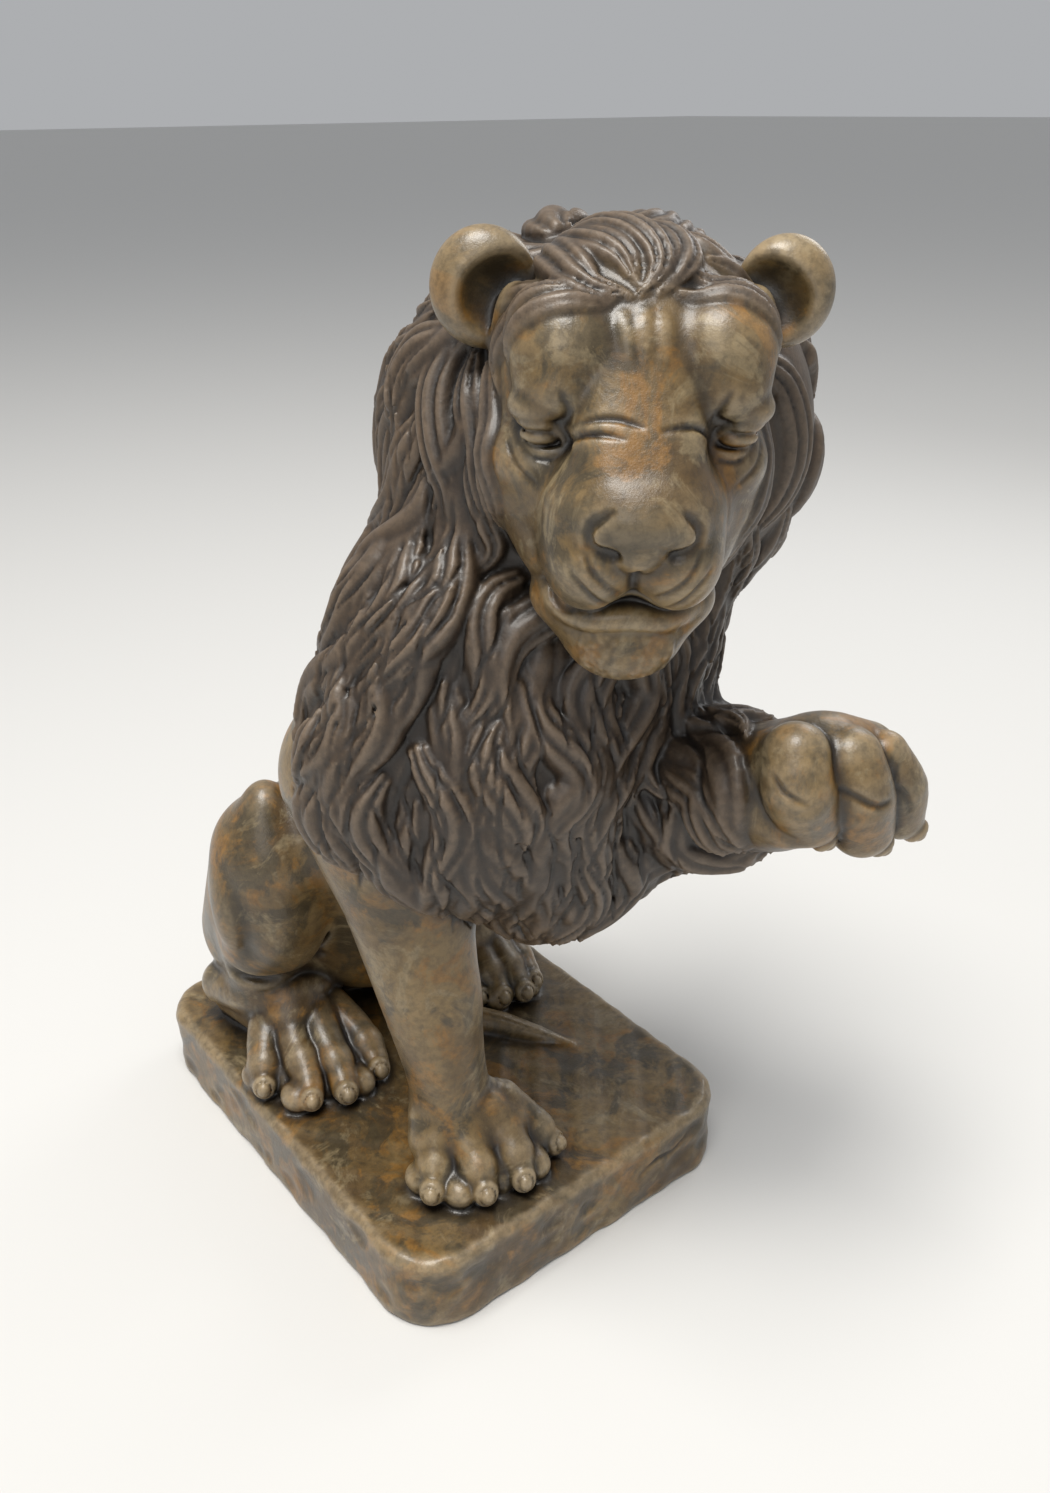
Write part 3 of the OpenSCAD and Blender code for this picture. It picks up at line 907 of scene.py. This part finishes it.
def reach_of(part):
    """The lowest and highest corners of a part's window."""
    if part in REACH:
        return REACH[part]
    low, high = cad_mm(part)
    margin = WIDER.get(part, MARGIN)
    return low - vec(0, 0, GROUND) - margin, high - vec(0, 0, GROUND) + margin


def cut_out(clay, part, box):
    """The signed distance of one part's closed piece, or of what lies in a box of it."""
    border = (clay.own - clay.other) / 2
    if box:
        x, y, z = clay.axes[0][:, None, None], clay.axes[1][None, :, None], clay.axes[2][None, None, :]
        for axis, at in enumerate((x, y, z)):
            border = np.maximum(border, np.maximum(F32(box[0][axis]) - at, at - F32(box[1][axis])))
    piece = np.maximum(clay.f + F32(DIP) * np.maximum(border, 0) ** 2, border - F32(OVERLAP))
    below = GROUND if part == "plinth" else UNDER_FEET
    piece = np.maximum(piece, -(clay.axes[2][None, None, :] + F32(below)))
    for axis in range(3):
        wall = [slice(None)] * 3
        for end in (0, -1):
            wall[axis] = end
            piece[tuple(wall)] = np.maximum(piece[tuple(wall)], F32(1.0))
    return piece


def surface_values(clay, points):
    """How much of each point is hair, and how far it stands out of its near and wider surroundings."""
    hair = 0.5 + (clay.sample(points, clay.skin) - clay.sample(points, clay.hair)) / HAIR_FADE
    values = {"hair": np.clip(hair, 0, 1)}
    for name, radius in STAND_OUT.items():
        band = np.clip(clay.f, -radius, radius)
        values[name] = clay.sample(points, blurred(band, radius / clay.step)) / radius
    return values


def sculpted(part, step, box=None):
    """Points, faces and surface values of one part's closed piece, or of what lies in a box of it."""
    low, high = reach_of(part)
    if box:
        low, high = np.maximum(low, box[0] - MARGIN), np.minimum(high, box[1] + MARGIN)
    clay = Clay(low, high, step, part).replay(STROKES)
    grid = openvdb.FloatGrid(Clay.FAR)
    grid.copyFromArray(np.ascontiguousarray(cut_out(clay, part, box)))
    points, triangles, quads = grid.convertToPolygons(isovalue=0.0, adaptivity=0.0)
    points = np.asarray(points) * step + clay.low
    values = surface_values(clay, points)
    return points + vec(0, 0, GROUND), np.asarray(triangles), np.asarray(quads), values


def new_object(name, data):
    """An object for a mesh, lamp or camera, in the scene."""
    made = bpy.data.objects.new(name, data)
    bpy.context.scene.collection.objects.link(made)
    return made


def mesh_piece(name, points, triangles, quads, values):
    """A Blender object from points in millimetres, faces, and a value for each point by name."""
    mesh = bpy.data.meshes.new(name)
    corners = np.concatenate([quads[:, ::-1].ravel(), triangles[:, ::-1].ravel()]).astype(np.int32)
    starts = np.concatenate([np.arange(len(quads)) * 4, len(quads) * 4 + np.arange(len(triangles)) * 3])
    mesh.vertices.add(len(points))
    mesh.vertices.foreach_set("co", (points * MM).astype(F32).ravel())
    mesh.loops.add(len(corners))
    mesh.loops.foreach_set("vertex_index", corners)
    mesh.polygons.add(len(starts))
    mesh.polygons.foreach_set("loop_start", starts.astype(np.int32))
    mesh.update(calc_edges=True)
    mesh.validate()
    mesh.polygons.foreach_set("use_smooth", np.ones(len(mesh.polygons), bool))
    for key, value in values.items():
        mesh.attributes.new(key, "FLOAT", "POINT").data.foreach_set("value", value.astype(F32))
    return new_object(name, mesh)


# -------------------- materials

class Nodes:
    """Short calls for building a node tree."""

    def __init__(self, name):
        self.material = bpy.data.materials.new(name)
        self.material.use_nodes = True
        self.tree = self.material.node_tree
        self.shader = self.tree.nodes["Principled BSDF"]

    def feed(self, node, inputs):
        """Links each socket, and sets each number or colour, to the input of its name."""
        for key, value in inputs.items():
            if isinstance(value, bpy.types.NodeSocket):
                self.tree.links.new(value, node.inputs[key])
            else:
                node.inputs[key].default_value = value

    def node(self, kind, inputs, **settings):
        n = self.tree.nodes.new(kind)
        for key, value in settings.items():
            setattr(n, key, value)
        self.feed(n, inputs)
        return n

    def math(self, operation, a, b=0.0, clamp=False):
        return self.node("ShaderNodeMath", {0: a, 1: b}, operation=operation, use_clamp=clamp).outputs[0]

    def ramp(self, value, low, high, to_low=0.0, to_high=1.0):
        n = self.node("ShaderNodeMapRange", {"Value": value, "From Min": low, "From Max": high,
                                             "To Min": to_low, "To Max": to_high})
        return n.outputs["Result"]

    def mix(self, factor, a, b):
        n = self.node("ShaderNodeMix", {}, data_type="RGBA", clamp_factor=True)
        self.feed(n, {0: factor, 6: a, 7: b})
        return n.outputs[2]

    def noise(self, scale, detail=4.0, roughness=0.55, distortion=0.0):
        coordinates = self.node("ShaderNodeTexCoord", {}).outputs["Object"]
        n = self.node("ShaderNodeTexNoise", {"Vector": coordinates, "Scale": scale, "Detail": detail,
                                             "Roughness": roughness, "Distortion": distortion})
        return n.outputs["Fac"]

    def attribute(self, name):
        return self.node("ShaderNodeAttribute", {}, attribute_name=name).outputs["Fac"]


def rgb(r, g, b):
    return (r, g, b, 1.0)


def stone_material(name, gold=1.0):
    """Stained and sealed cast stone, mottled: painted shade with some patina darkens the hollows nearly to
    black, and a pale colour on the crests is part wear, part painted highlight.
    """
    n = Nodes(name)
    hair, crease, hollow = n.attribute("hair"), n.attribute("crease"), n.attribute("hollow")
    broad, blotch, fine = n.noise(7, 3), n.noise(24, 6, 0.62, 0.6), n.noise(150, 5, 0.65)
    patch = n.noise(15, 5, 0.7, 1.2)
    skin = n.mix(n.ramp(broad, 0.38, 0.62), rgb(0.092, 0.055, 0.020), rgb(0.215, 0.142, 0.056))
    skin = n.mix(n.ramp(patch, 0.52, 0.60, 0, 0.8 * gold), skin, rgb(0.245, 0.120, 0.024))
    skin = n.mix(n.ramp(blotch, 0.50, 0.42, 0, 0.85), skin, rgb(0.062, 0.048, 0.026))
    skin = n.mix(n.ramp(patch, 0.44, 0.36, 0, 0.7), skin, rgb(0.270, 0.208, 0.115))
    coat = n.mix(n.ramp(broad, 0.40, 0.60), rgb(0.034, 0.021, 0.012), rgb(0.078, 0.050, 0.028))
    coat = n.mix(n.ramp(patch, 0.54, 0.66, 0, 0.6), coat, rgb(0.100, 0.062, 0.032))
    colour = n.mix(hair, skin, coat)
    # Crests turn pale: part wear, part painted highlight.
    wear_and_highlight = n.mix(hair, rgb(0.36, 0.275, 0.165), rgb(0.185, 0.135, 0.092))
    colour = n.mix(n.ramp(crease, 0.02, 0.22, 0, 0.65), colour, wear_and_highlight)
    colour = n.mix(n.ramp(hollow, 0.08, 0.38, 0, 0.45), colour, wear_and_highlight)
    # Creases and hollows turn nearly black: painted shade, with some patina.
    colour = n.mix(n.ramp(crease, 0.02, -0.24, 0, 0.94), colour, rgb(0.008, 0.005, 0.003))
    colour = n.mix(n.ramp(hollow, 0.0, -0.36, 0, 0.88), colour, rgb(0.009, 0.006, 0.004))
    speck = n.mix(0.5, colour, rgb(0.008, 0.006, 0.004))
    colour = n.mix(n.ramp(fine, 0.42, 0.66, 0, 0.75), colour, speck)
    satin = n.math("ADD", n.ramp(blotch, 0.3, 0.7, 0.30, 0.44), n.math("MULTIPLY", hair, 0.12))
    grain = n.math("ADD", n.math("MULTIPLY", fine, 0.6), n.math("MULTIPLY", n.noise(520, 3, 0.7), 0.4))
    bump = n.node("ShaderNodeBump", {"Height": grain, "Strength": 0.45, "Distance": 0.0014})
    n.feed(n.shader, {"Base Color": colour, "Roughness": satin, "Specular IOR Level": 0.5,
                      "Coat Weight": 0.22, "Coat Roughness": 0.22, "Normal": bump.outputs["Normal"]})
    return n.material


def steel_material():
    n = Nodes("rebar_steel")
    rust = n.ramp(n.noise(60, 5), 0.4, 0.65)
    colour = n.mix(rust, rgb(0.10, 0.095, 0.09), rgb(0.22, 0.09, 0.04))
    roughness = n.ramp(rust, 0, 1, 0.45, 0.85)
    n.feed(n.shader, {"Base Color": colour, "Metallic": 0.6, "Roughness": roughness})
    return n.material


# -------------------- the studio

# Places here are in metres, from the ground
CAMERA_AT = vec(-0.5609, -0.8752, 0.9272)
CAMERA_TURN, CAMERA_DIP, CAMERA_ROLL = 38.10, 26.72, 0.59
LENS, SENSOR = 30.95, 36
STATUE_MIDDLE = (0.0, -0.1, 0.45)
FLOOR_REACH = 60
FLOOR_COLOUR = rgb(0.66, 0.655, 0.64)
SKY_COLOUR, SKY_STRENGTH = rgb(0.95, 0.97, 1.0), 0.44


def area_light(name, energy, size, location, colour=(1, 1, 1)):
    """A soft square lamp that looks at the statue's middle."""
    lamp = bpy.data.lights.new(name, "AREA")
    lamp.energy, lamp.size, lamp.color = energy, size, colour
    holder = new_object(name, lamp)
    holder.location = location
    holder.rotation_euler = (Vector(STATUE_MIDDLE) - Vector(location)).to_track_quat("-Z", "Y").to_euler()


def set_camera():
    yaw, dip, roll = (math.radians(a) for a in (CAMERA_TURN, CAMERA_DIP, CAMERA_ROLL))
    forward = Vector((math.sin(yaw) * math.cos(dip), math.cos(yaw) * math.cos(dip), -math.sin(dip)))
    camera = bpy.data.cameras.new("photo_view")
    camera.lens, camera.sensor_width, camera.clip_start = LENS, SENSOR, 0.01
    holder = new_object("photo_view", camera)
    aim = forward.to_track_quat("-Z", "Y").to_matrix() @ Matrix.Rotation(-roll, 3, "Z")
    holder.matrix_world = Matrix.Translation(CAMERA_AT) @ aim.to_4x4()
    bpy.context.scene.camera = holder


def set_studio():
    bpy.context.scene.view_settings.view_transform = "Standard"
    floor_mesh = bpy.data.meshes.new("floor")
    corners = [(x * FLOOR_REACH, y * FLOOR_REACH, 0) for x, y in ((-1, -1), (1, -1), (1, 1), (-1, 1))]
    floor_mesh.from_pydata(corners, [], [(0, 1, 2, 3)])
    floor = new_object("floor", floor_mesh)
    n = Nodes("pale_floor")
    n.feed(n.shader, {"Base Color": FLOOR_COLOUR, "Roughness": 0.8})
    floor.data.materials.append(n.material)
    area_light("overhead", 250, 2.2, (-1.0, -0.4, 4.8), (1.0, 0.975, 0.93))
    area_light("front_left", 14, 1.6, (-2.4, -1.8, 2.0))
    area_light("right_edge", 10, 1.0, (2.2, 0.4, 1.8))
    world = bpy.data.worlds.new("studio")
    bpy.context.scene.world = world
    world.use_nodes = True
    sky = world.node_tree.nodes["Background"]
    sky.inputs["Color"].default_value = SKY_COLOUR
    sky.inputs["Strength"].default_value = SKY_STRENGTH


# -------------------- build

# Voxel sizes of the parts
STEPS = {"plinth": 2.5, "hindquarters": 2.5, "torso": 2.5, "mane": 2.1, "head": 1.5, "lower_jaw": 1.25,
         "nose": 1.25, "eyes": 1.25, "right_ear": 1.5, "left_ear": 1.5, "right_hind_leg": 2.5,
         "left_hind_leg": 2.5, "right_hind_paw": 1.75, "left_hind_paw": 1.75, "standing_foreleg": 2.0,
         "standing_paw": 1.75, "raised_upper_arm": 2.0, "raised_forearm": 2.0, "raised_paw": 1.75,
         "tail": 2.0, "tail_tuft": 1.75, "standing_paw_nails": 1.25, "right_hind_nails": 1.25,
         "left_hind_nails": 1.25, "raised_paw_nails": 1.25}


def face_skin():
    """The bare head and mane, without locks, to lay folds and hair on."""
    bare = [stroke for stroke in STROKES if stroke[1] not in LOCKS]
    return Clay(vec(-200, -420, 440), vec(280, 40, 830), 2.5).replay(bare)


def sculpt_all():
    """Every stroke, in order: later clay lies over what is there, and carving cuts only what is there."""
    sculpt_plinth()
    sculpt_torso()
    sculpt_hind_leg(RIGHT, "right_hind_leg")
    sculpt_hind_leg(LEFT, "left_hind_leg")
    sculpt_hind_paws()
    sculpt_tail()
    sculpt_foreleg()
    sculpt_standing_paw()
    sculpt_raised_leg()
    sculpt_raised_paw()
    sculpt_raised_creases()
    sculpt_mane_core()
    sculpt_head_mass()
    sculpt_brows()
    sculpt_jaw()
    sculpt_nose()
    sculpt_locks()
    skin = face_skin()
    sculpt_eyes()
    sculpt_face_lines(skin)
    roughen_chin(skin)
    sculpt_ear(RIGHT, "right_ear", 96, 1.0)
    sculpt_ear(LEFT, "left_ear", 103, 0.93)
    sculpt_head_hair(skin)


def build():
    sculpt_all()
    jobs = [(part + "_cast", part, None) for part in STEPS if part != "mane"]
    jobs += [(name, "mane", box) for name, box in MANE_BOXES.items()]
    with ThreadPoolExecutor(4) as pool:
        made = list(pool.map(lambda job: sculpted(job[1], STEPS[job[1]] * COARSE, job[2]), jobs))
    stone = stone_material("cast_stone")
    for (name, part, _), (points, triangles, quads, values) in zip(jobs, made):
        piece = mesh_piece(name, points, triangles, quads, values)
        piece.data.materials.append(stone)
        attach(piece, "root")
        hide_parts(part)
    steel = steel_material()
    for node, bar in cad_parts.items():
        if node not in STEPS:
            bar.data.materials.clear()
            bar.data.materials.append(steel)


build()
set_camera()
set_studio()
